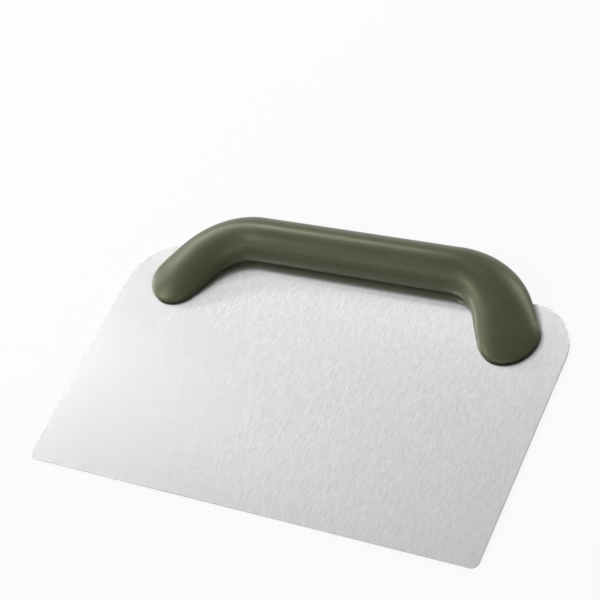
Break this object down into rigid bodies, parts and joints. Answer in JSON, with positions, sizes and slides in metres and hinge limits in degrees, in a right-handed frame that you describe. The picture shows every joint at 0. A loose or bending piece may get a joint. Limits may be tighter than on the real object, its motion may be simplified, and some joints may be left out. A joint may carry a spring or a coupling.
{
  "type": "dough scraper",
  "caption": "Wide rectangular steel dough scraper with rounded upper corners and a bow-shaped moulded handle seated across its upper edge, for cutting and lifting dough.",
  "frame": {"origin": "centre of the footprint, on the flat back that lies on the worktop", "axes": "+X along the scraping edge, +Y up the blade towards the handle, +Z out of the blade's front"},
  "size_m": [0.24, 0.1496, 0.0163],
  "materials": {
    "blade_steel": "brushed up the blade",
    "handle_plastic": "satin olive green",
    "screw_steel": "plain",
    "sleeve_brass": "turned"
  },
  "bodies": {
    "root": {"blade": "blade_steel", "handle_shell": "handle_plastic", "handle_back_cover": "handle_plastic", "foot_screw_left_lower": "screw_steel", "foot_screw_left_upper": "screw_steel", "foot_screw_right_lower": "screw_steel", "foot_screw_right_upper": "screw_steel", "threaded_sleeve_left_lower": "sleeve_brass", "threaded_sleeve_left_upper": "sleeve_brass", "threaded_sleeve_right_lower": "sleeve_brass", "threaded_sleeve_right_upper": "sleeve_brass", "cover_screw_left": "screw_steel", "cover_screw_right": "screw_steel"}
  },
  "joints": []
}
